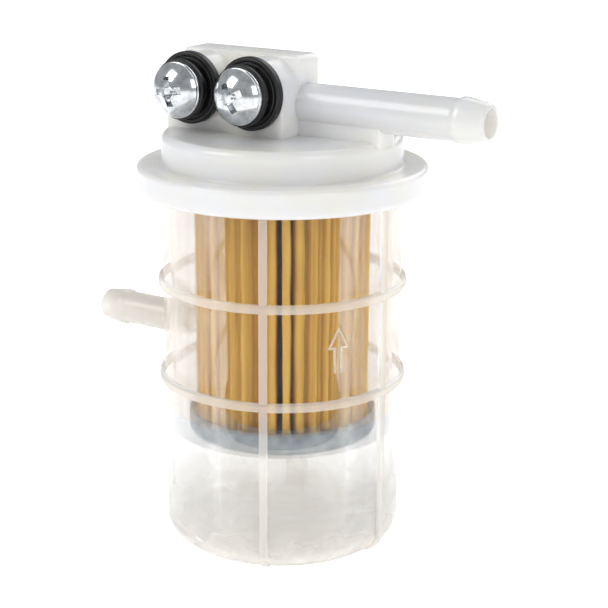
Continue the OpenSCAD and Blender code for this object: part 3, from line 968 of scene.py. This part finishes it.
@dataclass
class Fastening:
    """One rubber-mounted screw: insert, bush, sleeve, washer and screw."""

    side: Side
    cross: float
    bush_radius: float = 8.0
    bush_back: float = 2.2
    groove: float = 1.8
    groove_radius: float = 5.3
    bush_front: float = 1.5
    front_radius: float = 6.7
    sleeve_radius: float = 4.25
    washer_radius: float = 6.2
    washer: float = 0.8
    hole_radius: float = 3.15
    head_radius: float = 5.95
    head_height: float = 3.5
    thread_radius: float = 2.98
    pitch: float = 1.0
    shank: float = 11.7
    arm_half: float = 3.2
    arm_width: float = 1.6
    arm_tip_share: float = 0.75
    arm_top_share: float = 1.35
    recess: float = 2.3
    rim_height: float = 0.45
    dome_steps: int = 14
    thread_depth: float = 0.62
    core_depth: float = 0.55
    thread_end: float = 0.6
    thread_turns: int = 10
    thread_steps: int = 36
    ring_outer: float = 7.1
    ring_middle: float = 6.85
    ring_inner: float = 6.6
    ring_depth: float = 0.3

    def named(self, piece: str) -> str:
        """The piece's name with this side in front."""
        return f"{self.side.value}_{piece}"

    def outwards(self, node: str) -> tuple[Matrix, Matrix]:
        """Turns +Z out of the block's front and moves a piece to where a CAD node starts.

        Args:
            node: The CAD node's name without its side.

        Returns:
            The turn and the move, in that order.
        """
        low, high = node_box(self.named(node))
        middle = (low + high) / 2
        return (Matrix.Rotation(math.radians(90), 4, "X"),
                Matrix.Translation((middle.x, high.y, middle.z)))

    def bush(self) -> bmesh.types.BMesh:
        """The rubber bush with its bracket groove and moulded rings."""
        back, mouth = self.bush_back, self.bush_back + self.groove
        top = mouth + self.bush_front
        return spun([(self.sleeve_radius, 0, 0.1), (self.bush_radius, 0, 0.5), (self.bush_radius, back, 0.6),
                     (self.ring_outer, back, 0.15), (self.ring_middle, back - self.ring_depth, 0.15),
                     (self.ring_inner, back, 0.15), (self.groove_radius, back, 0.25),
                     (self.groove_radius, mouth, 0.25), (self.front_radius, mouth, 0.5),
                     (self.front_radius, top, 0.55), (self.sleeve_radius, top, 0.1)],
                    closed=True, steps=MEDIUM_STEPS)

    def ring_washer(self) -> bmesh.types.BMesh:
        """The stamped washer, with one rolled-over and one sharper edge."""
        return spun([(self.hole_radius, 0, 0.08), (self.washer_radius, 0, 0.1),
                     (self.washer_radius, self.washer, 0.3), (self.hole_radius, self.washer, 0.15)],
                    closed=True, steps=MEDIUM_STEPS)

    def thread(self) -> bmesh.types.BMesh:
        """The thread's ridge, swept as a helix below the head."""
        root, crest, half = self.thread_radius - self.thread_depth, self.thread_radius, self.pitch * 0.42
        bm = bmesh.new()
        flat = self.pitch / 16
        corners = [(root, -half, 0), (crest, -flat, 0), (crest, flat, 0), (root, half, 0)]
        start = Vector((0, 0, self.thread_end - self.shank))
        face = bm.faces.new([bm.verts.new(p + start) for p in rounded(corners, True)])
        turns, steps = self.thread_turns, self.thread_steps
        bmesh.ops.spin(bm, geom=[face, *face.edges, *face.verts], cent=(0, 0, 0), axis=(0, 0, 1),
                       dvec=(0, 0, self.pitch / steps), angle=math.tau * turns, steps=turns * steps)
        bmesh.ops.holes_fill(bm, edges=[e for e in bm.edges if e.is_boundary])
        return cleaned(bm)

    def cross_cutter(self) -> bmesh.types.BMesh:
        """The tapered cross that the driver fits."""
        bottom = self.head_height - self.recess
        tip, top = self.arm_half * self.arm_tip_share, self.arm_half * self.arm_top_share
        cutter: bmesh.types.BMesh | None = None
        for turn in (0, 90):
            arm = prism([(-tip, bottom, 0), (-top, self.head_height + 1, 0), (top, self.head_height + 1, 0),
                         (tip, bottom, 0)], -self.arm_width / 2, self.arm_width / 2)
            placed(arm, spoke_turn(self.cross + turn))
            cutter = arm if cutter is None else fused(cutter, arm)
        point = spun([(0, bottom - 0.7, 0), (1.25, bottom + 0.4, 0.2), (1.75, self.head_height + 1, 0),
                      (0, self.head_height + 1, 0)], steps=POINT_STEPS)
        return fused(cutter, point)

    def screw(self) -> bmesh.types.BMesh:
        """The domed screw with its recess and thread, seated at z = 0."""
        rim, r, top = self.rim_height, self.head_radius, self.head_height
        rise = top - rim
        dome = (r * r + rise * rise) / (2 * rise)
        reach = math.asin(r / dome)
        turns = [reach * k / self.dome_steps for k in range(self.dome_steps)]
        arc = [(dome * math.sin(turn), top - dome * (1 - math.cos(turn)), 0) for turn in turns]
        core = self.thread_radius - self.core_depth
        outline = arc + [(r, rim, 0.35), (r, 0, 0.12), (self.thread_radius, 0, 0.1),
                         (self.thread_radius, -0.5, 0.1), (core, -1.0, 0.2), (core, -self.shank, 0.4),
                         (0, -self.shank, 0)]
        body = fused(spun(outline, steps=MEDIUM_STEPS), self.cross_cutter(), Join.DIFFERENCE)
        return fused(bevelled(body, 0.12, 2, 55), self.thread())

    def build(self) -> None:
        """Builds this side's pieces on their own bodies."""
        show(self.named("rubber_bush"), placed(self.bush(), *self.outwards("bush")),
             RUBBER, FILTER_BODY, self.named("bush"))
        washer, screw = self.named("washer"), self.named("screw")
        show(self.named("stamped_washer"), placed(self.ring_washer(), *self.outwards("washer")),
             ZINC, washer, washer)
        turn, move = self.outwards("screw")
        seat = node_box(screw)[0].y + self.head_height
        move.translation.y = seat
        show(self.named("domed_screw"), placed(self.screw(), turn, move), ZINC, screw, screw)
        keep(self.named("insert"), BRASS)
        keep(self.named("sleeve"), SHEET)


# ---------------------------------------------------------------- the studio


@dataclass(frozen=True)
class Lamp:
    """One square soft light: its name, its place and side in metres, and its power in watts."""

    name: str
    place: tuple[float, float, float]
    size: float
    watts: float


@dataclass
class Studio:
    """Camera, pale floor and soft lights."""

    azimuth: float = 33.0
    elevation: float = 16.175
    roll: float = 0.27
    target: tuple[float, float, float] = (0.00499, 0.00132, 0.05507)
    distance: float = 0.375
    lens: float = 97.7
    sensor: float = 36.0
    floor_half: float = 6.0
    floor_glow: float = 0.52
    sky_strength: float = 0.45
    lamps: tuple[Lamp, ...] = (
        Lamp("key", (-0.55, -0.75, 0.85), 0.6, 5.1),
        Lamp("fill", (0.9, -0.35, 0.5), 0.5, 2.1),
        Lamp("back", (0.1, 0.9, 0.7), 0.9, 4.4))

    def camera(self) -> None:
        """Puts the camera on its line of sight."""
        data = bpy.data.cameras.new("camera")
        data.lens, data.sensor_width = self.lens, self.sensor
        data.clip_start, data.clip_end = 0.01, 50
        made = bpy.data.objects.new("camera", data)
        bpy.context.scene.collection.objects.link(made)
        turn, rise = math.radians(self.azimuth), math.radians(self.elevation)
        back = Vector((math.sin(turn) * math.cos(rise), -math.cos(turn) * math.cos(rise), math.sin(rise)))
        tilt = back.to_track_quat("Z", "Y").to_matrix().to_4x4()
        made.matrix_world = (Matrix.Translation(Vector(self.target) + back * self.distance) @ tilt
                             @ Matrix.Rotation(math.radians(self.roll), 4, "Z"))
        bpy.context.scene.camera = made

    def floor(self) -> None:
        """A wide pale floor."""
        bm = bmesh.new()
        bmesh.ops.create_grid(bm, x_segments=1, y_segments=1, size=self.floor_half)
        floor = loose_object(bm, "floor")
        material = bpy.data.materials.new("pale_floor")
        material.use_nodes = True
        shader = material.node_tree.nodes["Principled BSDF"]
        shader.inputs["Base Color"].default_value = linear("#F6F6F6")
        shader.inputs["Roughness"].default_value = 0.9
        shader.inputs["Emission Color"].default_value = (1, 1, 1, 1)
        shader.inputs["Emission Strength"].default_value = self.floor_glow
        floor.data.materials.append(material)

    def light(self, lamp: Lamp) -> None:
        """Makes one soft light that faces the object.

        Args:
            lamp: The light to make.
        """
        data = bpy.data.lights.new(lamp.name, "AREA")
        data.shape, data.size, data.energy = "SQUARE", lamp.size, lamp.watts
        made = bpy.data.objects.new(lamp.name, data)
        bpy.context.scene.collection.objects.link(made)
        made.location = lamp.place
        made.rotation_mode = "QUATERNION"
        made.rotation_quaternion = (Vector(lamp.place) - Vector(self.target)).to_track_quat("Z", "Y")

    def build(self) -> None:
        """Sets up camera, floor, lights and surroundings."""
        self.camera()
        self.floor()
        for lamp in self.lamps:
            self.light(lamp)
        world = bpy.data.worlds.new("studio")
        world.use_nodes = True
        background = world.node_tree.nodes["Background"]
        background.inputs["Color"].default_value = linear("#F2F4F6")
        background.inputs["Strength"].default_value = self.sky_strength
        bpy.context.scene.world = world
        bpy.context.scene.view_settings.view_transform = "Standard"


def main() -> None:
    """Builds the studio and every sub-assembly."""
    logging.basicConfig(level=logging.INFO, format="%(name)s %(message)s")
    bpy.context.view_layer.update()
    Studio().build()
    Bowl().build()
    Head().build()
    Element().build()
    for side in Side:
        Fastening(side, CROSS_TURN[side]).build()


if __name__ == "__main__":
    main()
